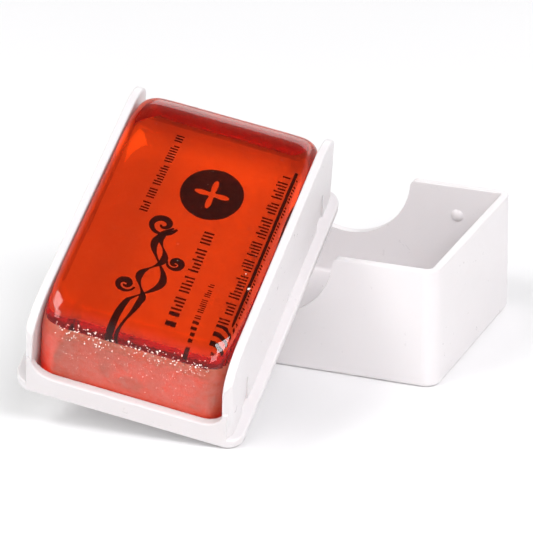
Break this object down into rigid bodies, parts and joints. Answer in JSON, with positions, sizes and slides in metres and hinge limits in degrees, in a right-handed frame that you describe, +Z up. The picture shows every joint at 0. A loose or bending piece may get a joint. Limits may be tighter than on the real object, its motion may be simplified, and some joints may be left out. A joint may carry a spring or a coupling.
{
  "type": "boxed rosin cake",
  "caption": "Cast rosin cake in a moulded push-fit plastic box, open: the tray with the cake leans on its upturned cover",
  "frame": {"origin": "centre of the cover's closed face, on the table", "axes": "X along the cover's length, Y across it with the tray leaning on the -Y side, Z up out of the cover's open side"},
  "size_m": [0.0615, 0.0839, 0.0461],
  "materials": {
    "cover_plastic": "moulded white plastic, taken as polystyrene, satin gloss",
    "tray_plastic": "moulded white plastic, taken as polystyrene, satin gloss",
    "label_paper": "thin white sheet with a dark printed ornament",
    "rosin": "clear orange-red cast rosin, glossy top, frosted ends"
  },
  "bodies": {
    "cover": {"cover": "cover_plastic"},
    "tray": {"tray": "tray_plastic", "label_sheet": "label_paper", "rosin_cake": "rosin"}
  },
  "joints": [
    {"name": "tray_lift", "type": "slide", "parent": "cover", "child": "tray", "axis": [0, 0, 1], "range_m": [0, 0.035]}
  ]
}
